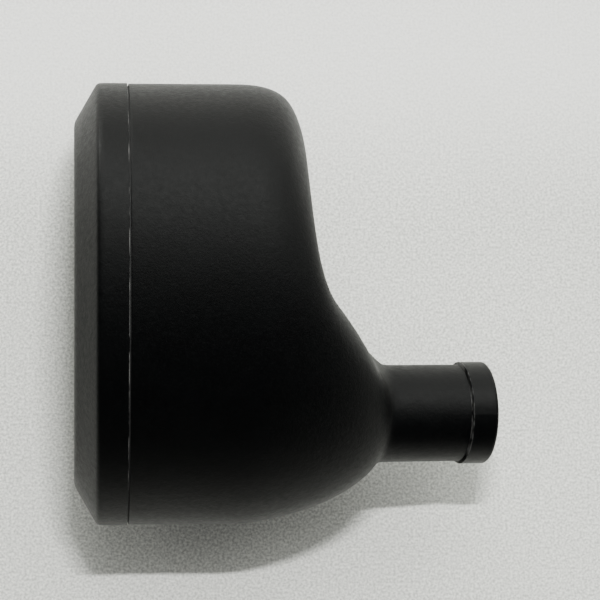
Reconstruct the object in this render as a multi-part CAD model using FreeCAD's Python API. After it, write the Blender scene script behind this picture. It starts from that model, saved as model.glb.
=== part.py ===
"""Left earpiece of an in-ear monitor, lying on the side of its shell. All sizes in mm.

Axes: +X runs from the faceplate's flat outer face towards the nozzle, +Y to the top of the earpiece (the
socket's side), +Z up. The origin is the middle of the earpiece's footprint, level with the surface under it.
While the pieces are made, X is counted from the faceplate's outer face; save() moves them to the origin.
"""

import FreeCAD
import Part

import math
import os

from FreeCAD import Vector

os.makedirs("parts", exist_ok=True)

# ---- overall sizes ----
body_height = 24.8  # along Y, over the shell's wall
body_depth = 17.2  # across the shell at its widest
body_lean = 0.5  # how far the outline bows away from the side it lies on
egg = 0.10  # how much wider the outline is towards the top
seam_x = 3.05  # the shell's mouth
seam_gap = 0.08  # open gap between faceplate and shell
seam_edge = 0.04  # rounding of the two edges beside the seam
seal_sunk = 0.12  # from the shell's surface down to the seal in the seam
rim_proud = 0.03  # the faceplate's rim stands this far outside the shell's wall

# ---- shell's contour between the wall and the neck, at the top, the sides and the bottom ----
wall_stations = (6.0, 8.6)
contour_steps = 8  # stretches between control rings
waist_step = 4  # the top's waist is on this ring
shoulder_start_x = 10.3
shoulder_x = 13.3
shoulder_roundness = 3.0  # 2 is an ellipse, more is squarer
waist_x = 10.1
waist_share = 0.38  # of the way out from the neck to the outline
slope_end_x = 17.2
slope_roundness = 1.3  # 1 is straight
side_start_x = 10.0
side_end_x = 17.1
bottom_start_x = 9.1
bottom_end_x = 16.9
dome_roundness = 1.6  # 1 is a straight slope, 2 an ellipse

# ---- walls ----
wall = 0.9
face_thickness = 1.1

# ---- faceplate ----
chamfer_axial = 1.30
chamfer_radial = 2.27
chamfer_edge = 0.45  # rounding of the chamfer's two edges
spigot_length = 0.75
spigot_wall = 0.65
spigot_clearance = 0.05

# ---- nozzle ----
nozzle_base_x = 17.3
nozzle_y = -6.20
nozzle_z = 0.2
nozzle_tilt = 10.5  # degrees, towards the side it lies on
neck_r = 2.75
bore_r = 2.0
neck_length = 4.55
lip_r = 2.90
lip_length = 1.60
lip_edge = 0.22  # rounding of the lip's outer edge
lip_relief = 0.10
collar_wall = 0.35
collar_spigot = 1.2
screen_shoulder = 0.55  # width of the step that the screen sits on
screen_sunk = 0.30  # from the lip's end to the screen's seat
screen_thickness = 0.14
screen_hole_r = 0.17
screen_pitch = 0.47
damper_length = 1.0
damper_hole_r = 0.55

# ---- driver, on an axis along X ----
driver_y = -1.5
flange_r = 4.8
frame_r = 4.35
frame_wall = 0.55
seat_wall = 0.23
flange_rear_x = 8.8
flange_thickness = 1.1
frame_back_x = 7.6
magnet_r = 1.95
magnet_thickness = 1.0
pole_thickness = 0.4
yoke_thickness = 0.4
coil_gap = 0.2  # air on each side of the coil
coil_wall = 0.25
coil_length = 1.0
film = 0.05  # diaphragm and surround
baffle_thickness = 0.6
ledge_width = 0.75
ledge_thickness = 0.6

# ---- socket for two-pin plugs ----
socket_x = 6.2
socket_turn = -38.0  # degrees round from +Y, towards the side it lies on
socket_length = 3.8
socket_width = 2.3
socket_depth = 3.6
pin_pitch = 2.14
contact_bore_r = 0.40
contact_r = 0.58
contact_length = 2.8
boss_wall = 0.45
boss_depth = 2.4

# ---- vents ----
vent_r = 0.45
vent_screen_r = 0.9
vent_screen_thickness = 0.12

glue_gap = 0.03  # between glued pieces
wire_r = 0.15
wire_bend = 0.6
wire_level_x = 4.5  # where the lead wires leave the board's back

# ---- derived ----
half_height = body_height / 2
half_depth = body_depth / 2
tilt = math.radians(nozzle_tilt)
AROUND = 32  # control points round the outline


def outline(turn, inset):
    """Point (y, z) of the body's outline, shrunk by inset. turn is 0 at the top and grows towards +Z."""
    a = half_height - inset
    b = half_depth - inset
    lean = body_lean * b / half_depth
    y = a * math.cos(turn)
    z = b * math.sin(turn) * (1 + egg * math.cos(turn)) + lean * math.sin(turn) ** 2
    return y, z


lowest = min(outline(math.radians(d), -rim_proud)[1] for d in range(180, 361))
lift = -lowest  # raises everything so that the lowest line of the wall is at Z = 0


def turns():
    return [2 * math.pi * k / AROUND for k in range(AROUND)]


def smooth_poles(points):
    """Control points whose closed cubic curve runs through the given points."""
    n = len(points)
    poles = []
    for k in range(n):
        side = points[k - 1] + points[(k + 1) % n]
        poles.append((points[k] * 8 - side) * (1 / 6.0))
    return poles


def ring(x, inset):
    """Points of the outline at station x."""
    points = []
    for turn in turns():
        y, z = outline(turn, inset)
        points.append(Vector(x, y, z + lift))
    return points


def closed_edge(points):
    poles = smooth_poles(points)
    curve = Part.BSplineCurve()
    knots = list(range(len(poles) + 1))
    curve.buildFromPolesMultsKnots(poles, [1] * len(knots), knots, True, 3)
    return curve.toShape()


def face_at(x, inset):
    return Part.Face(Part.Wire(closed_edge(ring(x, inset))))


def prism(x0, x1, inset):
    """Solid with the body's outline between two stations."""
    return face_at(x0, inset).extrude(Vector(x1 - x0, 0, 0))


def skin(rings, degree):
    """Closed solid whose side is one smooth surface controlled by the rings, with a flat cap at each end."""
    poles = [smooth_poles(r) for r in rings]
    spans = len(poles) - degree
    knots = list(range(spans + 1))
    mults = [degree + 1] + [1] * (spans - 1) + [degree + 1]
    around = list(range(AROUND + 1))
    surface = Part.BSplineSurface()
    surface.buildFromPolesMultsKnots(
        poles, mults, [1] * len(around), knots, around, False, True, degree, 3
    )
    side = surface.toShape()
    ends = [edge for edge in side.Edges if edge.isClosed() and not edge.isSeam(side)]
    sides = Part.makeCompound([side] + [Part.Face(Part.Wire(edge)) for edge in ends])
    sides.sewShape(1e-5)
    return Part.makeSolid(sides.Shells[0])


# ---- the shell's contoured skin ----
# Every contour point is a station X and a share of the way out from the neck to the wall's outline.
def quarter(step, steps, start_x, end_x, low_share, roundness):
    """Contour point on a quarter of a superellipse, from (start_x, 1) to (end_x, low_share)."""
    turn = math.pi / 2 * step / steps
    ahead = math.sin(turn) ** (2 / roundness)
    out = max(math.cos(turn), 0.0) ** (2 / roundness)
    return start_x + (end_x - start_x) * ahead, low_share + (1 - low_share) * out


def top_contour(step):
    """Square shoulder, then a waist and a slightly crowned slope down to the neck."""
    if step < waist_step:
        return quarter(step, waist_step, shoulder_start_x, shoulder_x, waist_share, shoulder_roundness)
    along = (step - waist_step) / (contour_steps - waist_step)
    return waist_x + (slope_end_x - waist_x) * along, waist_share * (1 - along**slope_roundness)


def side_contour(step):
    return quarter(step, contour_steps, side_start_x, side_end_x, 0.0, dome_roundness)


def bottom_contour(step):
    return quarter(step, contour_steps, bottom_start_x, bottom_end_x, 0.0, dome_roundness)


def body_skin(inset, neck_radius, mouth, neck_reach):
    """The shell's skin moved inwards by inset, from the mouth's rings to neck_reach along the neck."""
    rings = list(mouth)
    for x in wall_stations:
        rings.append(ring(x, inset))
    for step in range(contour_steps + 1):
        top = top_contour(step)
        side = side_contour(step)
        bottom = bottom_contour(step)
        sunk = inset * min(1.0, step / 3)
        points = []
        for turn in turns():
            up = max(math.cos(turn), 0.0) ** 1.6
            down = max(-math.cos(turn), 0.0) ** 1.6
            x = side[0] + up * (top[0] - side[0]) + down * (bottom[0] - side[0])
            share = side[1] + up * (top[1] - side[1]) + down * (bottom[1] - side[1])
            y1, z1 = outline(turn, inset)
            y0 = nozzle_y + neck_radius * math.cos(turn)
            z0 = nozzle_z + neck_radius * math.sin(turn)
            leaning = (1 - share) ** 2 * neck_radius * math.sin(turn) * math.sin(tilt)
            points.append(
                Vector(x - sunk + leaning, y0 + share * (y1 - y0), z0 + share * (z1 - z0) + lift)
            )
        rings.append(points)
    for reach in (0.3, neck_reach * 0.5, neck_reach):
        rings.append(neck_ring(reach, neck_radius))
    return skin(rings, 3)


neck_axis = Vector(math.cos(tilt), 0, -math.sin(tilt))
neck_side = Vector(math.sin(tilt), 0, math.cos(tilt))
neck_start = Vector(nozzle_base_x, nozzle_y, nozzle_z + lift)


def neck_point(reach):
    return neck_start + neck_axis * reach


def neck_ring(reach, radius):
    """Circle round the nozzle's axis."""
    centre = neck_point(reach)
    points = []
    for turn in turns():
        out = Vector(0, 1, 0) * math.cos(turn) + neck_side * math.sin(turn)
        points.append(centre + out * radius)
    return points


def neck_rod(reach0, reach1, radius):
    return Part.makeCylinder(radius, reach1 - reach0, neck_point(reach0), neck_axis)


def tube(base, axis, length, outer, inner):
    return Part.makeCylinder(outer, length, base, axis).cut(
        Part.makeCylinder(inner, length, base, axis)
    )


collar_end = neck_length + lip_length
lip_edge_centre = neck_point(collar_end - lip_edge) + neck_side * (lip_r - lip_edge)
overall_length = lip_edge_centre.x + lip_edge


def save(name, shape):
    """Writes one piece, moved so that the middle of the earpiece's length is at X = 0."""
    if len(shape.Solids) == 1:
        shape = shape.Solids[0]
    if not shape.isValid():
        print("not valid:", name)
    shape.translated(Vector(-overall_length / 2, 0, 0)).exportStep("parts/" + name + ".step")
    print(name, round(shape.Volume, 3), len(shape.Solids))


# ---- faceplate ----
def faceplate_rings():
    """Outer face, chamfer with slightly broken edges, and rim."""
    soft = chamfer_edge
    slant = math.hypot(chamfer_axial, chamfer_radial)
    dx = chamfer_axial / slant
    di = chamfer_radial / slant
    top = chamfer_radial - rim_proud
    low = -rim_proud
    stations = (
        (0.0, top + soft),
        (0.0, top),
        (soft * dx, top - soft * di),
        (chamfer_axial * 0.5, (top + low) * 0.5),
        (chamfer_axial - soft * dx, low + soft * di),
        (chamfer_axial, low),
        (chamfer_axial + soft, low),
        ((chamfer_axial + rim_end_x) * 0.5, low),
        (rim_end_x - seam_edge, low),
        (rim_end_x, low),
        (rim_end_x, low + seam_edge),
    )
    return [ring(x, inset) for x, inset in stations]


rim_end_x = seam_x - seam_gap
spigot_out = wall + spigot_clearance
spigot_in = spigot_out + spigot_wall
spigot_end_x = seam_x + spigot_length

faceplate = skin(faceplate_rings(), 2)
faceplate = faceplate.fuse(prism(rim_end_x - 0.3, spigot_end_x, spigot_out))
faceplate = faceplate.cut(prism(face_thickness, spigot_end_x + 0.1, spigot_in))
save("faceplate", faceplate)

seal_in = wall - 0.04
save("faceplate_seal", prism(rim_end_x, seam_x, seal_sunk).cut(prism(rim_end_x, seam_x, seal_in)))

# ---- driver stations ----
AXIS_X = Vector(1, 0, 0)


def at(x):
    return Vector(x, driver_y, lift)


def disc(x0, x1, radius):
    return Part.makeCylinder(radius, x1 - x0, at(x0), AXIS_X)


def washer(x0, x1, outer, inner):
    return tube(at(x0), AXIS_X, x1 - x0, outer, inner)


baffle_front_x = flange_rear_x - 0.1
baffle_rear_x = baffle_front_x - baffle_thickness
ledge_end_x = baffle_front_x + ledge_thickness

# ---- shell ----
mouth_stations = ((seam_x, seam_edge), (seam_x, 0.0), (seam_x + seam_edge, 0.0), (seam_x + 1.0, 0.0))
mouth_rings = [ring(x, inset) for x, inset in mouth_stations]
outer = body_skin(0.0, neck_r, mouth_rings, neck_length)
hollow = body_skin(wall, bore_r, [ring(seam_x - 0.5, wall)], neck_length + 0.5)
shell = outer.cut(hollow)
ledge = prism(baffle_front_x, ledge_end_x, wall - 0.3)
ledge = ledge.cut(prism(baffle_front_x, ledge_end_x, wall + ledge_width))
ledge = ledge.cut(disc(baffle_front_x, ledge_end_x, flange_r + 0.15))
shell = shell.fuse(ledge)

# ---- socket ----
socket_angle = math.radians(socket_turn)
sy, sz = outline(socket_angle, 0.0)
ahead = outline(socket_angle + 0.01, 0.0)
behind = outline(socket_angle - 0.01, 0.0)
along = Vector(0, ahead[0] - behind[0], ahead[1] - behind[1])
along.normalize()
socket_out = Vector(0, -along.z, along.y)
if socket_out.y < 0:
    socket_out = socket_out * -1
socket_mouth = Vector(socket_x, sy, sz + lift) - socket_out * 0.12


def socket_block(grow, start, depth):
    """Block with round ends, sunk from start to start + depth under the socket's mouth."""
    half_width = socket_width / 2 + grow
    straight = socket_length - socket_width
    base = socket_mouth - socket_out * start
    ends = []
    for side in (-0.5, 0.5):
        centre = base + AXIS_X * (side * straight)
        ends.append(Part.makeCylinder(half_width, depth, centre, socket_out * -1))
    corner = base - AXIS_X * (straight / 2) + along * half_width
    across = along * (-2 * half_width)
    points = [corner, corner + AXIS_X * straight, corner + AXIS_X * straight + across, corner + across]
    middle = Part.Face(Part.makePolygon(points + [corner])).extrude(socket_out * -depth)
    return ends[0].fuse(middle).fuse(ends[1]).removeSplitter()


boss_sunk = 0.4
inside = prism(socket_x - socket_length, socket_x + socket_length, wall - 0.3)
boss = socket_block(boss_wall, boss_sunk, boss_depth - boss_sunk).common(inside)
shell = shell.fuse(boss)
shell = shell.cut(socket_block(glue_gap, -2.0, 2.0 + boss_depth + 0.2))

housing = socket_block(0.0, 0.0, socket_depth)
contacts = []
for name, side in (("a", -0.5), ("b", 0.5)):
    mouth = socket_mouth + AXIS_X * (side * pin_pitch)
    housing = housing.cut(Part.makeCylinder(contact_r + 0.02, socket_depth, mouth, socket_out * -1))
    top = mouth - socket_out * 0.15
    contact = tube(top, socket_out * -1, contact_length, contact_r, contact_bore_r)
    floor_at = top - socket_out * contact_length
    contact = contact.fuse(Part.makeCylinder(contact_r, 0.65, floor_at, socket_out * -1))
    tail_at = floor_at - socket_out * 0.65
    contact = contact.fuse(Part.makeCylinder(0.22, 0.9, tail_at, socket_out * -1))
    save("socket_contact_" + name, contact.removeSplitter())
    contacts.append(tail_at - socket_out * 0.9)
save("socket_housing", housing)


# ---- vents, each with a screen held in a counterbore from inside ----
def vent(x, turn_deg):
    turn = math.radians(turn_deg)
    y, z = outline(turn, 0.0)
    ny = math.cos(turn) / half_height
    nz = math.sin(turn) / half_depth
    out = Vector(0, ny, nz)
    out.normalize()
    surface = Vector(x, y, z + lift)
    through = Part.makeCylinder(vent_r, 3.0, surface + out * 1.0, out * -1)
    pocket = Part.makeCylinder(vent_screen_r + 0.02, 2.0, surface - out * 0.55, out * -1)
    screen = Part.makeCylinder(vent_screen_r, vent_screen_thickness, surface - out * 0.55, out * -1)
    return through.fuse(pocket), screen


rear_vent, rear_screen = vent(6.0, -118.0)
front_vent, front_screen = vent(9.85, -135.0)
shell = shell.cut(rear_vent)
shell = shell.cut(front_vent)
save("rear_vent_screen", rear_screen)
save("front_vent_screen", front_screen)
save("shell", shell)

# ---- nozzle collar, screen and damper ----
collar_bore_r = bore_r - collar_wall
screen_r = collar_bore_r + screen_shoulder
lip = neck_rod(neck_length, collar_end, lip_r)
lip_face = []
for edge in lip.Edges:
    if edge.isClosed() and edge.Curve.Center.distanceToPoint(neck_point(collar_end)) < 0.01:
        lip_face.append(edge)
lip = lip.makeFillet(lip_edge, lip_face)
relief = neck_rod(neck_length, neck_length + lip_relief, lip_r + 1).cut(
    neck_rod(neck_length, neck_length + lip_relief, neck_r - 0.25)
)
collar = lip.cut(relief)
collar = collar.fuse(neck_rod(neck_length - collar_spigot, neck_length + 0.2, bore_r - glue_gap))
collar = collar.cut(neck_rod(neck_length - collar_spigot - 0.1, collar_end + 0.1, collar_bore_r))
seat = collar_end - screen_sunk
collar = collar.cut(neck_rod(seat, collar_end + 0.1, screen_r + glue_gap))
save("nozzle_collar", collar)

screen = neck_rod(seat, seat + screen_thickness, screen_r)
holes = []
for row in range(-4, 5):
    for column in range(-4, 5):
        across = screen_pitch * (column + row * 0.5)
        upward = screen_pitch * row * math.sqrt(3) / 2
        if math.hypot(across, upward) < collar_bore_r - screen_hole_r:
            base = neck_point(seat - 0.1) + Vector(0, 1, 0) * across + neck_side * upward
            holes.append(Part.makeCylinder(screen_hole_r, 0.5, base, neck_axis))
save("nozzle_screen", screen.cut(Part.makeCompound(holes)))

damper_end = neck_length - collar_spigot - 0.05
damper = neck_rod(damper_end - damper_length, damper_end, bore_r - glue_gap)
damper = damper.cut(neck_rod(damper_end - damper_length, damper_end, damper_hole_r))
save("nozzle_damper", damper)

# ---- baffle and driver ----
baffle = prism(baffle_rear_x, baffle_front_x, wall + glue_gap)
baffle = baffle.cut(disc(baffle_rear_x, baffle_front_x, frame_r + glue_gap))
baffle_socket = socket_block(boss_wall + 0.1, -2.0, 2.0 + boss_depth + 0.2)
save("driver_baffle", baffle.cut(baffle_socket))
save("driver_seal", washer(baffle_front_x, flange_rear_x, flange_r, frame_r + glue_gap))

flange_front_x = flange_rear_x + flange_thickness
seat_r = frame_r - seat_wall
cup_r = frame_r - frame_wall
pole_r = magnet_r + 0.15
coil_in_r = pole_r + coil_gap
coil_out_r = coil_in_r + coil_wall
yoke_in_r = coil_out_r + coil_gap
yoke_r = yoke_in_r + 0.35

pole_front_x = flange_rear_x - 0.4
magnet_front_x = pole_front_x - pole_thickness
yoke_floor_x = magnet_front_x - magnet_thickness
yoke_rear_x = yoke_floor_x - yoke_thickness

frame = disc(frame_back_x, flange_rear_x, frame_r)
frame = frame.fuse(disc(flange_rear_x, flange_front_x, flange_r))
frame = frame.cut(disc(flange_rear_x, flange_front_x, seat_r))
frame = frame.cut(disc(frame_back_x + 0.3, flange_rear_x, cup_r))
frame = frame.cut(disc(frame_back_x, flange_rear_x, yoke_r + glue_gap))
vent_ring_r = (yoke_r + cup_r) / 2
rear_hole_r = (cup_r - yoke_r) * 0.3
for k in range(6):
    turn = math.radians(60 * k + 30)
    base = at(frame_back_x - 0.1) + Vector(0, math.cos(turn), math.sin(turn)) * vent_ring_r
    frame = frame.cut(Part.makeCylinder(rear_hole_r, 0.6, base, AXIS_X))
save("driver_frame", frame)

yoke = disc(yoke_rear_x, pole_front_x + 0.1, yoke_r).cut(disc(yoke_floor_x, pole_front_x + 0.1, yoke_in_r))
save("driver_yoke", yoke)
save("driver_magnet", disc(yoke_floor_x, magnet_front_x, magnet_r))
save("pole_washer", disc(magnet_front_x, pole_front_x, pole_r))

dome_x = flange_rear_x
save("voice_coil", washer(dome_x - coil_length, dome_x, coil_out_r, coil_in_r))
surround_edge_r = coil_out_r + 0.06


def cap(x0, radius, height, thickness):
    """Shallow spherical cap of even thickness with a flat foot."""
    big = (radius**2 + height**2) / (2 * height)
    centre = at(x0 + height - big)
    ball = Part.makeSphere(big, centre).cut(Part.makeSphere(big - thickness, centre))
    return ball.common(disc(x0, x0 + height + 1, radius + 1))


dome = cap(dome_x, coil_in_r + 0.02, 0.55, film)
dome = dome.fuse(washer(dome_x, dome_x + film, surround_edge_r, coil_in_r - 0.05))
save("diaphragm_dome", dome.removeSplitter())

ring_in_r = cup_r
roll_mid = (surround_edge_r + ring_in_r) / 2
roll_r = (ring_in_r - surround_edge_r) / 2 - 0.1
half_ring = Part.makeTorus(roll_mid, roll_r, at(dome_x), AXIS_X)
half_ring = half_ring.cut(Part.makeTorus(roll_mid, roll_r - film, at(dome_x), AXIS_X))
half_ring = half_ring.common(disc(dome_x, dome_x + 2, frame_r))
surround = half_ring.fuse(washer(dome_x, dome_x + film, roll_mid - roll_r + film / 2, surround_edge_r))
surround = surround.fuse(washer(dome_x, dome_x + film, ring_in_r, roll_mid + roll_r - film / 2))
save("diaphragm_surround", surround.removeSplitter())

ring_front_x = flange_rear_x + 0.3
save("diaphragm_ring", washer(flange_rear_x, ring_front_x, seat_r - glue_gap, ring_in_r))

cover_rear_x = flange_front_x - 0.2
cover = disc(cover_rear_x, flange_front_x, seat_r - glue_gap)
cover = cover.fuse(washer(ring_front_x, cover_rear_x, seat_r - glue_gap, ring_in_r))
sound_holes = [Part.makeCylinder(0.32, 0.6, at(cover_rear_x - 0.1), AXIS_X)]
for count, radius in ((6, 1.25), (12, 2.5)):
    for k in range(count):
        turn = 2 * math.pi * k / count
        base = at(cover_rear_x - 0.1) + Vector(0, math.cos(turn), math.sin(turn)) * radius
        sound_holes.append(Part.makeCylinder(0.32, 0.6, base, AXIS_X))
save("driver_front_cover", cover.cut(Part.makeCompound(sound_holes)))
save("rear_damping_paper", washer(frame_back_x - 0.1, frame_back_x, frame_r - 0.1, yoke_r + 0.05))

# ---- terminal board, solder and lead wires ----
board_thickness = 0.3
board_rear_x = yoke_rear_x - board_thickness
board_y = driver_y + 0.9
board = Part.makeBox(board_thickness, 1.6, 3.8, Vector(board_rear_x, board_y - 0.8, lift - 1.9))
save("terminal_board", board)

solder = []
pads = []
for side in (-1, 1):
    pad = Vector(board_rear_x, board_y, lift + side * 1.1)
    blob = Part.makeCone(0.5, 0.28, 0.32, pad, AXIS_X * -1)
    wire_hole = Part.makeCylinder(wire_r, 0.32, pad, AXIS_X * -1)
    solder.append(blob.cut(wire_hole))
    pads.append(pad)
save("board_solder_joint_a", solder[0])
save("board_solder_joint_b", solder[1])


def routed(points, radius, bend):
    """Round wire along straight runs joined by tangent arcs."""
    edges = []
    start = points[0]
    for before, corner, after in zip(points, points[1:], points[2:]):
        come = (corner - before).normalize()
        go = (after - corner).normalize()
        angle = come.getAngle(go)
        reach = bend * math.tan(angle / 2)
        arc_start = corner - come * reach
        arc_end = corner + go * reach
        inward = (go - come).normalize()
        centre = corner + inward * (bend / math.cos(angle / 2))
        middle = centre + (corner - centre).normalize() * bend
        edges.append(Part.makeLine(start, arc_start))
        edges.append(Part.Arc(arc_start, middle, arc_end).toShape())
        start = arc_end
    edges.append(Part.makeLine(start, points[-1]))
    path = Part.Wire(edges)
    profile = Part.Wire(Part.makeCircle(radius, points[0], (points[1] - points[0]).normalize()))
    return path.makePipeShell([profile], True, False)


for name, pad, tail in (("a", pads[0], contacts[0]), ("b", pads[1], contacts[1])):
    sleeve_top = tail + socket_out * 0.5
    sleeve = Part.makeCylinder(0.36, 0.7, sleeve_top, socket_out * -1)
    sleeve = sleeve.cut(Part.makeCylinder(0.23, 0.5, sleeve_top, socket_out * -1))
    sleeve = sleeve.cut(Part.makeCylinder(wire_r, 0.21, tail, socket_out * -1))
    save("tail_solder_joint_" + name, sleeve)
    out_of_pad = Vector(wire_level_x, pad.y, pad.z)
    below_tail = tail - socket_out * 1.6
    lead = routed([pad, out_of_pad, below_tail, tail], wire_r, wire_bend)
    save("lead_wire_" + name, lead)
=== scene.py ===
"""Left earpiece of an in-ear monitor: surfaces, finishes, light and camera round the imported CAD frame."""

import math

import bpy
import numpy as np
from bpy.props import FloatProperty, FloatVectorProperty, PointerProperty
from bpy.types import Operator, Panel, PropertyGroup
from mathutils import Matrix, Vector


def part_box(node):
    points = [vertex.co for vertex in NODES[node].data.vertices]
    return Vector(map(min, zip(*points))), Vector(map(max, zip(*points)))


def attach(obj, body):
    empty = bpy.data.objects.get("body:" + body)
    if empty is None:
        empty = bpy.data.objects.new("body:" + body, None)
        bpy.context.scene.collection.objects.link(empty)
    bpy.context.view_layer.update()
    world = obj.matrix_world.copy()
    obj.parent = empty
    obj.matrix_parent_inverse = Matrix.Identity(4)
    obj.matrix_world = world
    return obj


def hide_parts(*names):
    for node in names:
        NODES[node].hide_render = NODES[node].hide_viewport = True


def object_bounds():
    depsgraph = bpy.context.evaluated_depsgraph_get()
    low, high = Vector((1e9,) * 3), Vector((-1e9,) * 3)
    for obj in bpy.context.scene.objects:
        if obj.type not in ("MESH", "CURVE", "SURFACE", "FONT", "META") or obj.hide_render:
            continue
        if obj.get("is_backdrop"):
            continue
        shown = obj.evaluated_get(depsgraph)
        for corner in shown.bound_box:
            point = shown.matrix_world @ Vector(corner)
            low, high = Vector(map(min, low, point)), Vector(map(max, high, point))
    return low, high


bl_info = {
    "name": "Earpiece looks",
    "version": (1, 0, 0),
    "blender": (4, 5, 0),
    "location": "3D View > Sidebar > Earpiece",
    "description": "Finishes, woven screens, driver details and studio for an in-ear monitor earpiece",
    "category": "Object",
}

MM = 0.001
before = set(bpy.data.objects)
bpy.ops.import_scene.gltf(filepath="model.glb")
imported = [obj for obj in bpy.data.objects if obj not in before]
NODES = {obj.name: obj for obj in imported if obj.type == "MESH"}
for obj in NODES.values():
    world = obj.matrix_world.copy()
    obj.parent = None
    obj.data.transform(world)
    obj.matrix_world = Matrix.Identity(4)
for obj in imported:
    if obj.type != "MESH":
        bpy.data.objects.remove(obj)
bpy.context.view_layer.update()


# ---------------------------------------------------------------- meshes from grids


def grid_faces(rows, columns, close_rows=False):
    """Quads of a grid of rows x columns points whose columns close on themselves, as point numbers."""
    r = np.arange(rows if close_rows else rows - 1)
    c = np.arange(columns)
    r, c = np.meshgrid(r, c, indexing="ij")
    r1 = (r + 1) % rows
    c1 = (c + 1) % columns
    quads = np.stack([r * columns + c, r1 * columns + c, r1 * columns + c1, r * columns + c1], -1)
    return quads.reshape(-1, 4)


def piece_from(name, points, faces, body, slot, replaced=()):
    """Puts whole arrays of points and faces into a new smooth object that rides on a body."""
    mesh = bpy.data.meshes.new(name)
    mesh.from_pydata(points.reshape(-1, 3).tolist(), [], faces)
    mesh.shade_smooth()
    piece = bpy.data.objects.new(name, mesh)
    bpy.context.scene.collection.objects.link(piece)
    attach(piece, body)
    if replaced:
        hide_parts(*replaced)
    return piece


def frame_along(axis):
    """Two unit directions square to an axis and to each other."""
    axis = np.asarray(axis, float)
    across = np.cross(axis, (0.0, 0.0, 1.0) if abs(axis[2]) < 0.9 else (0.0, 1.0, 0.0))
    across /= np.linalg.norm(across)
    return across, np.cross(axis, across)


def tubes(lines, normal, radius, sides):
    """Round tubes along many lines of equal length at once. lines has the shape (wires, points, 3).

    At every point a circle of the given radius stands square to the line: centre + radius (cos a * side +
    sin a * up), where side is the line's direction crossed with normal and up is side crossed with the
    direction. A flat face closes each end.
    """
    wires, count = lines.shape[:2]
    along = np.gradient(lines, axis=1)
    along /= np.linalg.norm(along, axis=-1, keepdims=True)
    side = np.cross(along, np.broadcast_to(normal, along.shape))
    side /= np.linalg.norm(side, axis=-1, keepdims=True)
    up = np.cross(side, along)
    a = np.arange(sides) * (2 * np.pi / sides)
    circle = np.cos(a)[:, None] * side[:, :, None, :] + np.sin(a)[:, None] * up[:, :, None, :]
    points = lines[:, :, None, :] + radius * circle
    quads = grid_faces(count, sides)
    starts = np.arange(wires) * count * sides
    faces = (starts[:, None, None] + quads).reshape(-1, 4).tolist()
    first = np.arange(sides)
    last = np.arange(sides)[::-1] + (count - 1) * sides
    for cap in (first, last):
        faces += (starts[:, None] + cap).tolist()
    return points, faces


def turned(profile, centre, axis, sides):
    """Ring turned about an axis: point = centre + axis * x + r (cos a * across + sin a * up) for each (x, r)
    of the closed profile, given counter-clockwise as seen with x to the right and r upwards."""
    across, up = frame_along(axis)
    profile = np.asarray(profile, float)
    a = np.arange(sides) * (2 * np.pi / sides)
    spoke = np.cos(a)[:, None] * across + np.sin(a)[:, None] * up
    points = np.asarray(centre) + profile[:, None, :1] * np.asarray(axis) + profile[:, None, 1:] * spoke
    return points, grid_faces(len(profile), sides, close_rows=True).tolist()


def joined(*parts):
    """Several (points, faces) pairs as one."""
    points, faces, count = [], [], 0
    for p, f in parts:
        p = p.reshape(-1, 3)
        points.append(p)
        faces += [[v + count for v in face] for face in f]
        count += len(p)
    return np.concatenate(points), faces


def woven_disc(centre, axis, radius, pitch, wire):
    """Plain weave cut to a disc. Wire k of each family runs at k pitches from the centre, and its height is
    wire * sin(pi s / pitch), with s counted along the wire and its sign turned for every other wire and for
    the other family, so that the wires pass over and under each other."""
    across, up = frame_along(axis)
    axis = np.asarray(axis)
    count = int(radius / pitch)
    k = np.arange(-count, count) + 0.5
    half = np.sqrt(radius**2 - (k * pitch) ** 2)
    s = np.linspace(-1, 1, 8 * count + 1) * half[:, None]
    parts = []
    for along, aside, sign in ((across, up, 1.0), (up, across, -1.0)):
        turn = np.where(np.arange(len(k)) % 2, -sign, sign)[:, None]
        height = wire * turn * np.sin(np.pi * (s / pitch - 0.5))
        lines = (
            np.asarray(centre)
            + s[..., None] * along
            + (k * pitch)[:, None, None] * aside
            + height[..., None] * axis
        )
        parts.append(tubes(lines, axis, wire, 5))
    return joined(*parts)


def wound_coil(centre, axis, radius, length, wire, turns):
    """One layer of wire: a helix of the given radius, centre + axis * length * t + radius (cos a * across +
    sin a * up), with a = 2 pi * turns * t and t from 0 to 1."""
    across, up = frame_along(axis)
    t = np.linspace(0, 1, int(turns * 48) + 1)[:, None]
    a = 2 * np.pi * turns * t
    line = np.asarray(centre) + np.asarray(axis) * length * t + radius * (np.cos(a) * across + np.sin(a) * up)
    return tubes(line[None], np.asarray(axis), wire, 8)


def rounded_box(x0, x1, r0, r1, edge):
    """Profile of a ring with a rectangular section and rounded corners, counter-clockwise."""
    a = np.linspace(0, np.pi / 2, 4)
    corners = []
    for cx, cr, start in ((x1, r1, 0.0), (x0, r1, 0.5), (x0, r0, 1.0), (x1, r0, 1.5)):
        turn = a + start * np.pi
        away_x = cx - edge if cx == x1 else cx + edge
        away_r = cr - edge if cr == r1 else cr + edge
        corners.append(np.stack([away_x + edge * np.cos(turn), away_r + edge * np.sin(turn)], -1))
    return np.concatenate(corners)


# ---------------------------------------------------------------- finishes


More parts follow.
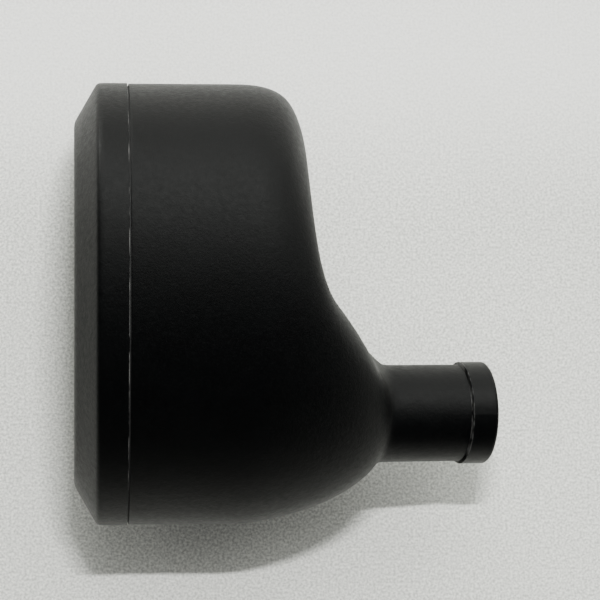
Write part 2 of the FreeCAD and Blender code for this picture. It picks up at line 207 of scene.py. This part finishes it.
class Finish:
    """A material under construction: a Principled surface and short ways to add nodes to it."""

    def __init__(self, name):
        self.material = bpy.data.materials.new(name)
        self.material.use_nodes = True
        self.tree = self.material.node_tree
        self.surface = self.tree.nodes["Principled BSDF"]
        self.place = self.node("ShaderNodeTexCoord").outputs["Object"]

    def node(self, kind, **settings):
        made = self.tree.nodes.new(kind)
        for key, value in settings.items():
            setattr(made, key, value)
        return made

    def link(self, source, target):
        self.tree.links.new(source, target)

    def set(self, **values):
        """Constants straight onto the surface's sockets; underscores stand for spaces."""
        for key, value in values.items():
            socket = self.surface.inputs[key.replace("_", " ")]
            socket.default_value = (*value, 1.0) if isinstance(value, (tuple, list)) else value

    def noise(self, size, detail=2.0, rough=0.5, place=None):
        """Noise whose blotches are about size metres across, 0 to 1."""
        made = self.node("ShaderNodeTexNoise")
        made.inputs["Scale"].default_value = 1.0 / size
        made.inputs["Detail"].default_value = detail
        made.inputs["Roughness"].default_value = rough
        self.link(place or self.place, made.inputs["Vector"])
        return made.outputs["Fac"]

    def specks(self, spacing, radius, share):
        """Round dots about spacing apart, 1 on the dot and 0 off it; share of the cells have one."""
        cells = self.node("ShaderNodeTexVoronoi")
        cells.inputs["Scale"].default_value = 1.0 / spacing
        self.link(self.place, cells.inputs["Vector"])
        dot = self.between(cells.outputs["Distance"], 0.3 * radius / spacing, radius / spacing, 1.0, 0.0)
        lot = self.node("ShaderNodeSeparateColor")
        self.link(cells.outputs["Color"], lot.inputs["Color"])
        return self.maths("MULTIPLY", dot, self.maths("LESS_THAN", lot.outputs[0], share))

    def stretch(self, scale):
        """Object coordinates scaled by (x, y, z)."""
        made = self.node("ShaderNodeMapping")
        made.inputs["Scale"].default_value = scale
        self.link(self.place, made.inputs["Vector"])
        return made.outputs["Vector"]

    def between(self, source, low, high, to_low, to_high, smooth=False):
        made = self.node("ShaderNodeMapRange")
        made.interpolation_type = "SMOOTHSTEP" if smooth else "LINEAR"
        for key, value in (("From Min", low), ("From Max", high), ("To Min", to_low), ("To Max", to_high)):
            made.inputs[key].default_value = value
        self.link(source, made.inputs["Value"])
        return made.outputs["Result"]

    def maths(self, what, first, second):
        made = self.node("ShaderNodeMath", operation=what)
        for value, socket in ((first, made.inputs[0]), (second, made.inputs[1])):
            if isinstance(value, (int, float)):
                socket.default_value = value
            else:
                self.link(value, socket)
        return made.outputs["Value"]

    def colours(self, share, first, second):
        """Blend of two colours by a share from 0 to 1."""
        made = self.node("ShaderNodeMix", data_type="RGBA")
        self.link(share, made.inputs["Factor"])
        for value, socket in ((first, made.inputs[6]), (second, made.inputs[7])):
            if isinstance(value, (tuple, list)):
                socket.default_value = (*value, 1.0)
            else:
                self.link(value, socket)
        return made.outputs[2]

    def bump(self, *layers):
        """Bumps on top of each other: (height, depth in metres, strength)."""
        normal = None
        for height, depth, strength in layers:
            made = self.node("ShaderNodeBump")
            made.inputs["Distance"].default_value = depth
            made.inputs["Strength"].default_value = strength
            self.link(height, made.inputs["Height"])
            if normal is not None:
                self.link(normal, made.inputs["Normal"])
            normal = made.outputs["Normal"]
        self.link(normal, self.surface.inputs["Normal"])

    def along(self, direction):
        """How far along a direction a place lies, in metres."""
        made = self.node("ShaderNodeVectorMath", operation="DOT_PRODUCT")
        made.inputs[1].default_value = tuple(direction)
        self.link(self.place, made.inputs[0])
        return made.outputs["Value"]

    def paint(self, *nodes):
        """Puts the finish on CAD nodes or new pieces."""
        for item in nodes:
            piece = NODES[item] if isinstance(item, str) else item
            piece.data.materials.clear()
            piece.data.materials.append(self.material)
        return self.material


EDGE_GLINT = (0.15, 0.15, 0.145)  # pale colour painted along machined edges: a painted highlight standing in for light glinting off the edge
DUST = (0.16, 0.16, 0.155)
ANODISED_IOR = 1.25  # low, because the blasted surface mirrors little


def blasted_black(name, colour, grain, depth, roughness, glint_edges=()):
    """Bead-blasted black anodising: fine grain in height and gloss, faint clouding, sparse dust, and painted
    glints: pale broken lines along machined edges that stand in for light caught on them. Each edge is
    (direction, how far along it, half width)."""
    f = Finish(name)
    cloud = f.noise(2.2 * MM, 3.0, 0.6)
    fine = f.noise(grain, 3.0, 0.7)
    coarse = f.noise(grain * 2.4, 2.0, 0.5)
    dull = tuple(c * 0.75 for c in colour)
    pale = tuple(c * 1.3 for c in colour)
    shade = f.colours(f.between(cloud, 0.3, 0.7, 0, 1), dull, pale)
    shade = f.colours(f.between(fine, 0.52, 0.75, 0, 0.5), shade, tuple(c * 2.4 + 0.002 for c in colour))
    gloss = f.between(coarse, 0.25, 0.75, roughness - 0.05, roughness + 0.06)
    shade = f.colours(f.specks(1.9 * MM, 0.035 * MM, 0.22), shade, DUST)
    # painted highlight: each listed edge gets a pale broken line in the base colour, standing in for glints
    # of light on the edge
    for direction, where, width in glint_edges:
        away = f.maths("ABSOLUTE", f.maths("SUBTRACT", f.along(direction), where), 0.0)
        near = f.between(away, 0.0, width, 1.0, 0.0, smooth=True)
        broken = f.between(f.noise(1.6 * MM, 4.0, 0.65), 0.46, 0.66, 0.0, 1.0)
        glint = f.maths("MULTIPLY", near, broken)
        shade = f.colours(glint, shade, EDGE_GLINT)
    f.link(shade, f.surface.inputs["Base Color"])
    f.link(gloss, f.surface.inputs["Roughness"])
    f.set(IOR=ANODISED_IOR)
    f.bump((coarse, depth * 2.0, 0.5), (fine, depth * 1.4, 0.8))
    return f


def plain_finish(name, colour, roughness, metal=0.0, grain=0.06 * MM, depth=0.0015 * MM, spread=0.25):
    """Moulded or turned surface: faint mottling of colour and gloss over a fine grain."""
    f = Finish(name)
    mottle = f.between(f.noise(0.9 * MM, 3.0, 0.6), 0.3, 0.7, 0, 1)
    dark = tuple(c * (1 - spread) for c in colour)
    light = tuple(min(1.0, c * (1 + spread)) for c in colour)
    f.link(f.colours(mottle, dark, light), f.surface.inputs["Base Color"])
    fine = f.noise(grain, 2.0, 0.6)
    f.link(f.between(fine, 0.2, 0.8, roughness * 0.8, roughness * 1.2), f.surface.inputs["Roughness"])
    f.set(Metallic=metal)
    f.bump((fine, depth, 0.5))
    return f


def pale_sheet(base):
    """Pale sheet: fine grain, faint clouds and scuffs, bright specks, and painted light: a little paler
    towards +Y, standing in for the stronger light on that side.
    """
    f = Finish("pale_sheet")
    grain = f.noise(0.15 * MM, 2.0, 0.6)
    cloud = f.noise(9 * MM, 3.0, 0.55)
    scuff = f.noise(1.0 * MM, 2.0, 0.6, f.stretch((1.0, 0.12, 1.0)))
    shade = f.colours(f.between(cloud, 0.3, 0.7, 0, 1), tuple(c * 0.95 for c in base), base)
    shade = f.colours(f.between(scuff, 0.66, 0.78, 0, 0.35), shade, tuple(c * 0.72 for c in base))
    shade = f.colours(f.between(grain, 0.32, 0.68, 1, 0), shade, tuple(c * 0.50 for c in base))
    # painted light: the colour pales towards +Y in place of the brighter light falling there
    painted_light_towards_y = f.between(f.along((0, 1, 0)), 4 * MM, 15 * MM, 0, 0.55, smooth=True)
    shade = f.colours(painted_light_towards_y, shade, (1.0, 1.0, 0.96))
    shade = f.colours(f.specks(0.55 * MM, 0.05 * MM, 0.5), shade, (0.98, 0.98, 0.96))
    f.link(shade, f.surface.inputs["Base Color"])
    f.set(Roughness=0.7, Specular_IOR_Level=0.2)
    f.bump((grain, 0.02 * MM, 0.3))
    return f.material


# ---------------------------------------------------------------- places in the frame


def node_points(node):
    """All points of a CAD node as an array."""
    mesh = NODES[node].data
    flat = np.empty(len(mesh.vertices) * 3)
    mesh.vertices.foreach_get("co", flat)
    return flat.reshape(-1, 3)


def thin_axis(node):
    """Direction in which a disc is thinnest: that of least spread of its points."""
    points = node_points(node)
    spread, directions = np.linalg.eigh(np.cov((points - points.mean(0)).T))
    return directions[:, 0]


def disc_of(node, axis):
    """Centre, radius and thickness of a disc about an axis."""
    points = node_points(node)
    low, high = points.min(0), points.max(0)
    centre = (low + high) / 2
    away = points - centre
    height = away @ axis
    flat = np.linalg.norm(away - height[:, None] * axis, axis=1)
    return centre, flat.max(), height.max() - height.min()


NOZZLE_AXIS = thin_axis("nozzle_screen")


# ---------------------------------------------------------------- sizes and colours


class CasingSettings(PropertyGroup):
    colour: FloatVectorProperty(
        name="Casing colour", description="Black of the anodised shell", subtype="COLOR", size=3,
        default=(0.0007, 0.0008, 0.0009), min=0, max=1,
    )
    grain: FloatProperty(
        name="Grain", description="Size of the bead-blasted grain", default=0.12 * MM, unit="LENGTH",
        precision=6,
    )
    grain_depth: FloatProperty(
        name="Grain depth", description="Height of the bead-blasted grain", default=0.010 * MM, unit="LENGTH",
        precision=7,
    )
    roughness: FloatProperty(name="Roughness", description="Gloss of the casing", default=0.47, min=0, max=1)


class ScreenSettings(PropertyGroup):
    pitch: FloatProperty(
        name="Mesh pitch", description="From one wire of the mesh to the next", default=0.14 * MM,
        unit="LENGTH", precision=6,
    )
    wire: FloatProperty(
        name="Mesh wire", description="Radius of the mesh's wire", default=0.034 * MM, unit="LENGTH",
        precision=6,
    )
    rim: FloatProperty(
        name="Rim", description="Width of the crimped rim round the nozzle's mesh", default=0.30 * MM,
        unit="LENGTH", precision=5,
    )


class DriverSettings(PropertyGroup):
    coil_wire: FloatProperty(
        name="Coil wire", description="Diameter of the coil's wire", default=0.07 * MM, unit="LENGTH",
        precision=6,
    )
    coil_wall: FloatProperty(
        name="Coil wall", description="Thickness of the whole coil", default=0.25 * MM, unit="LENGTH",
        precision=6,
    )


class StudioSettings(PropertyGroup):
    floor_colour: FloatVectorProperty(
        name="Floor colour", description="Colour of the pale sheet", subtype="COLOR", size=3,
        default=(0.90, 0.91, 0.85), min=0, max=1,
    )
    camera_distance: FloatProperty(
        name="Camera distance", description="From the lens to the middle of the earpiece", default=160 * MM,
        unit="LENGTH",
    )
    lens: FloatProperty(name="Lens", description="Focal length", default=170.0, unit="CAMERA")
    key_power: FloatProperty(name="Key", description="Small hard light above", default=0.31, unit="POWER")
    fill_power: FloatProperty(name="Fill", description="Wide soft light above", default=0.49, unit="POWER")
    bounce_power: FloatProperty(
        name="Bounce", description="Wide soft light from the side in shade", default=0.22, unit="POWER"
    )
    windows: FloatProperty(name="Windows", description="Strength of the low soft windows", default=3.1, min=0)
    backdrop: FloatVectorProperty(
        name="Backdrop", description="Colour behind the floor's edge", subtype="COLOR", size=3,
        default=(0.80, 0.80, 0.78), min=0, max=1,
    )


# ---------------------------------------------------------------- operators

AIM = Vector((0.0, 0.0, 8.0)) * MM  # what the lights point at
FLOOR_HALF = 1.2  # half the floor's width, in metres
SENSOR = 36.0  # width of the camera's film, in millimetres
CAMERA_AIM = Vector((12.73, 0.23, 8.5)) * MM  # from under the faceplate to where the camera points
KEY_LEAN = math.radians(17)  # how far the key stands from straight above, towards +Y
# Soft windows: azimuth and elevation in degrees, half of the opening angle, and strength
WINDOWS = (
    (90, 65, 25, 0.5),
    (90, 40, 25, 1.8),
    (50, 45, 25, 1.2),
    (30, 20, 25, 0.6),
    (90, 20, 25, 0.3),
    (60, 5, 20, 1.0),
    (120, 5, 20, 5.0),
)


class EARPIECE_OT_casing(Operator):
    """Finish the shell, the faceplate and the nozzle's collar"""

    bl_idname = "earpiece.casing"
    bl_label = "Casing"

    def execute(self, context):
        s = context.scene.casing
        colour = tuple(s.colour)
        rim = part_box("faceplate_seal")[0].x
        lengthwise = (1.0, 0.0, 0.0)
        points = node_points("nozzle_collar")
        centre = disc_of("nozzle_screen", NOZZLE_AXIS)[0]
        reach = (points - centre) @ NOZZLE_AXIS
        away = np.linalg.norm(points - centre - reach[:, None] * NOZZLE_AXIS, axis=1)
        lip = (points @ NOZZLE_AXIS)[away > 0.98 * away.max()]
        back = lip.min() if NOZZLE_AXIS[0] > 0 else lip.max()
        blasted_black("blasted_shell", colour, s.grain, s.grain_depth, s.roughness).paint("shell")
        # painted highlight along the faceplate's rim edge, beside the seam
        glint_edges = ((lengthwise, rim, 0.045 * MM),)
        plate = blasted_black("blasted_faceplate", colour, s.grain, s.grain_depth, s.roughness, glint_edges)
        plate.paint("faceplate")
        # painted highlight along the back edge of the collar's lip
        glint_edges = ((NOZZLE_AXIS, back, 0.04 * MM),)
        gloss = s.roughness - 0.05
        collar = blasted_black("turned_collar", colour, s.grain, s.grain_depth * 0.6, gloss, glint_edges)
        collar.paint("nozzle_collar")
        return {"FINISHED"}


class EARPIECE_OT_driver(Operator):
    """Finish the driver, its baffle and seals"""

    bl_idname = "earpiece.driver"
    bl_label = "Driver"

    def execute(self, context):
        s = context.scene.driver
        plain_finish("moulded_baffle", (0.02, 0.02, 0.021), 0.5).paint("driver_baffle")
        plain_finish("seal_rubber", (0.012, 0.012, 0.012), 0.75).paint("driver_seal", "faceplate_seal")
        plain_finish("driver_brass", (0.62, 0.45, 0.20), 0.32, 1.0).paint(
            "driver_frame", "diaphragm_ring", "driver_front_cover"
        )
        plain_finish("motor_steel", (0.50, 0.50, 0.51), 0.30, 1.0).paint("driver_yoke", "pole_washer")
        plain_finish("magnet_nickel", (0.62, 0.61, 0.60), 0.18, 1.0).paint("driver_magnet")
        low, high = (np.array(corner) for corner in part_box("voice_coil"))
        centre = (low + high) / 2
        radius = (high[1] - low[1]) / 2
        length = high[0] - low[0]
        start = centre - np.array([length / 2, 0, 0])
        wire = s.coil_wire / 2
        former = rounded_box(0.0, length, radius - s.coil_wall, radius - 2 * wire, 0.02 * MM)
        tube = turned(former, start, (1, 0, 0), 96)
        turns = (length - 0.1 * MM) / (2 * wire) - 1
        first = start + np.array([0.05 * MM + wire, 0, 0])
        wound = wound_coil(first, (1, 0, 0), radius - wire, turns * 2 * wire, wire, turns)
        coil = piece_from("coil_winding", *joined(tube, wound), "diaphragm", "coil_copper", ["voice_coil"])
        plain_finish("coil_copper", (0.72, 0.30, 0.14), 0.35, 1.0).paint(coil)
        film = plain_finish("diaphragm_film", (0.50, 0.52, 0.56), 0.25, 0.3)
        film.paint("diaphragm_dome", "diaphragm_surround")
        paper = plain_finish("damping_paper", (0.72, 0.70, 0.62), 0.9, grain=0.12 * MM, depth=0.006 * MM)
        paper.paint("rear_damping_paper")
        foam = plain_finish("damper_foam", (0.09, 0.09, 0.10), 0.95, grain=0.15 * MM, depth=0.02 * MM)
        foam.paint("nozzle_damper")
        plain_finish("board_laminate", (0.01, 0.10, 0.045), 0.35).paint("terminal_board")
        plain_finish("solder", (0.60, 0.60, 0.61), 0.22, 1.0).paint(
            "board_solder_joint_a", "board_solder_joint_b", "tail_solder_joint_a", "tail_solder_joint_b"
        )
        plain_finish("wire_red", (0.35, 0.03, 0.02), 0.35).paint("lead_wire_a")
        plain_finish("wire_black", (0.02, 0.02, 0.02), 0.35).paint("lead_wire_b")
        return {"FINISHED"}


class EARPIECE_OT_socket(Operator):
    """Finish the cable socket and its contacts"""

    bl_idname = "earpiece.socket"
    bl_label = "Socket"

    def execute(self, context):
        plain_finish("socket_nylon", (0.014, 0.014, 0.015), 0.38).paint("socket_housing")
        gold = plain_finish("contact_gold", (0.85, 0.60, 0.22), 0.20, 1.0)
        gold.paint("socket_contact_a", "socket_contact_b")
        return {"FINISHED"}


class EARPIECE_OT_screens(Operator):
    """Weave the screens of the nozzle and of both vents"""

    bl_idname = "earpiece.screens"
    bl_label = "Screens"

    def execute(self, context):
        s = context.scene.screens
        steel = plain_finish("screen_steel", (0.42, 0.42, 0.43), 0.33, 1.0)
        nozzle = NOZZLE_AXIS
        centre, radius, thickness = disc_of("nozzle_screen", nozzle)
        rim = radius - s.rim
        section = rounded_box(-thickness / 2, thickness / 2, rim, radius, thickness * 0.3)
        ring = turned(section, centre, nozzle, 96)
        weave = woven_disc(centre, nozzle, rim + 0.5 * s.wire, s.pitch, s.wire)
        both = joined(ring, weave)
        steel.paint(piece_from("nozzle_mesh", *both, "housing", "screen_steel", ["nozzle_screen"]))
        for node in ("rear_vent_screen", "front_vent_screen"):
            axis = thin_axis(node)
            centre, radius, thickness = disc_of(node, axis)
            wire = min(s.wire, thickness / 4)
            weave = woven_disc(centre, axis, radius, s.pitch, wire)
            steel.paint(piece_from(node.replace("screen", "mesh"), *weave, "housing", "screen_steel", [node]))
        return {"FINISHED"}


class EARPIECE_OT_studio(Operator):
    """Make the pale floor, the lights and the camera"""

    bl_idname = "earpiece.studio"
    bl_label = "Studio"

    def execute(self, context):
        s = context.scene.studio
        scene = context.scene
        low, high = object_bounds()

        half = FLOOR_HALF
        corners = np.array([[-half, -half, 0], [half, -half, 0], [half, half, 0], [-half, half, 0]], float)
        corners[:, 2] = low.z - 0.01 * MM
        mesh = bpy.data.meshes.new("floor")
        mesh.from_pydata(corners.tolist(), [], [(0, 1, 2, 3)])
        floor = bpy.data.objects.new("floor", mesh)
        scene.collection.objects.link(floor)
        floor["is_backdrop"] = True
        mesh.materials.append(pale_sheet(tuple(s.floor_colour)))

        self.air(scene, s)
        key = Vector((0.0, math.sin(KEY_LEAN), math.cos(KEY_LEAN))) * 150 * MM
        self.light("key", AIM + key, 22 * MM, 3 * MM, s.key_power)
        self.light("fill", AIM + Vector((0, 0.01, 1)) * 600 * MM, 500 * MM, 500 * MM, s.fill_power)
        self.light("bounce", AIM + Vector((0, -0.5, 0.87)) * 500 * MM, 350 * MM, 350 * MM, s.bounce_power)

        camera = bpy.data.cameras.new("camera")
        camera.lens = s.lens
        camera.sensor_width = SENSOR
        camera.clip_start, camera.clip_end = 0.01, 10.0
        view = bpy.data.objects.new("camera", camera)
        scene.collection.objects.link(view)
        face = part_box("faceplate")[0].x
        aim = Vector((face, 0.0, 0.0)) + CAMERA_AIM
        along = face - aim.x
        rise = math.sqrt(s.camera_distance**2 - along**2)
        view.location = aim + Vector((along, 0.0, rise))
        view.rotation_mode = "QUATERNION"
        view.rotation_quaternion = self.looking(aim - view.location)
        scene.camera = view
        return {"FINISHED"}

    @staticmethod
    def looking(direction):
        """Turn that looks along direction with +Y up in the picture."""
        back = -direction.normalized()
        right = Vector((0, 1, 0)).cross(back).normalized()
        up = back.cross(right)
        return Matrix((right, up, back)).transposed().to_quaternion()

    @staticmethod
    def air(scene, s):
        """Dark room with a few soft bright windows in given directions, and a pale backdrop to the eye."""
        world = bpy.data.worlds.new("studio_air")
        world.use_nodes = True
        tree = world.node_tree
        tree.nodes.clear()
        place = tree.nodes.new("ShaderNodeTexCoord").outputs["Generated"]
        total = None
        for azimuth, elevation, half, strength in WINDOWS:
            a, e = math.radians(azimuth), math.radians(elevation)
            towards = tree.nodes.new("ShaderNodeVectorMath")
            towards.operation = "DOT_PRODUCT"
            flat = math.cos(e)
            towards.inputs[1].default_value = (math.cos(a) * flat, math.sin(a) * flat, math.sin(e))
            tree.links.new(place, towards.inputs[0])
            near = tree.nodes.new("ShaderNodeMapRange")
            near.interpolation_type = "SMOOTHSTEP"
            near.inputs["From Min"].default_value = math.cos(math.radians(half))
            near.inputs["From Max"].default_value = 1.0
            near.inputs["To Max"].default_value = strength * s.windows
            tree.links.new(towards.outputs["Value"], near.inputs["Value"])
            if total is None:
                total = near.outputs["Result"]
            else:
                both = tree.nodes.new("ShaderNodeMath")
                tree.links.new(total, both.inputs[0])
                tree.links.new(near.outputs["Result"], both.inputs[1])
                total = both.outputs["Value"]
        room = tree.nodes.new("ShaderNodeBackground")
        room.inputs["Color"].default_value = (0.98, 1.0, 0.955, 1.0)
        tree.links.new(total, room.inputs["Strength"])
        back = tree.nodes.new("ShaderNodeBackground")
        back.inputs["Color"].default_value = (*s.backdrop, 1.0)
        mix = tree.nodes.new("ShaderNodeMixShader")
        out = tree.nodes.new("ShaderNodeOutputWorld")
        tree.links.new(tree.nodes.new("ShaderNodeLightPath").outputs["Is Camera Ray"], mix.inputs[0])
        tree.links.new(room.outputs[0], mix.inputs[1])
        tree.links.new(back.outputs[0], mix.inputs[2])
        tree.links.new(mix.outputs[0], out.inputs[0])
        scene.world = world

    @staticmethod
    def light(name, place, width, height, power):
        """Area light that shines on the earpiece but isn't mirrored in it."""
        lamp = bpy.data.lights.new(name, "AREA")
        lamp.shape = "RECTANGLE"
        lamp.size, lamp.size_y = width, height
        lamp.energy = power
        held = bpy.data.objects.new(name, lamp)
        bpy.context.scene.collection.objects.link(held)
        held.location = place
        held.rotation_euler = (AIM - place).to_track_quat("-Z", "Y").to_euler()
        held.visible_glossy = False


class EARPIECE_PT_looks(Panel):
    bl_idname = "EARPIECE_PT_looks"
    bl_label = "Earpiece"
    bl_space_type = "VIEW_3D"
    bl_region_type = "UI"
    bl_category = "Earpiece"

    def draw(self, context):
        layout = self.layout
        scene = context.scene
        for settings in (scene.casing, scene.screens, scene.driver, scene.studio):
            column = layout.column()
            for key in settings.__annotations__:
                column.prop(settings, key)
        for operator in OPERATORS:
            layout.operator(operator.bl_idname)


OPERATORS = (
    EARPIECE_OT_casing,
    EARPIECE_OT_screens,
    EARPIECE_OT_socket,
    EARPIECE_OT_driver,
    EARPIECE_OT_studio,
)
CLASSES = (CasingSettings, ScreenSettings, DriverSettings, StudioSettings, *OPERATORS, EARPIECE_PT_looks)


def register():
    for item in CLASSES:
        bpy.utils.register_class(item)
    bpy.types.Scene.casing = PointerProperty(type=CasingSettings)
    bpy.types.Scene.screens = PointerProperty(type=ScreenSettings)
    bpy.types.Scene.driver = PointerProperty(type=DriverSettings)
    bpy.types.Scene.studio = PointerProperty(type=StudioSettings)


def unregister():
    del bpy.types.Scene.studio
    del bpy.types.Scene.driver
    del bpy.types.Scene.screens
    del bpy.types.Scene.casing
    for item in reversed(CLASSES):
        bpy.utils.unregister_class(item)


def main():
    register()
    bpy.ops.earpiece.casing()
    bpy.ops.earpiece.screens()
    bpy.ops.earpiece.socket()
    bpy.ops.earpiece.driver()
    bpy.ops.earpiece.studio()


if __name__ == "__main__":
    main()
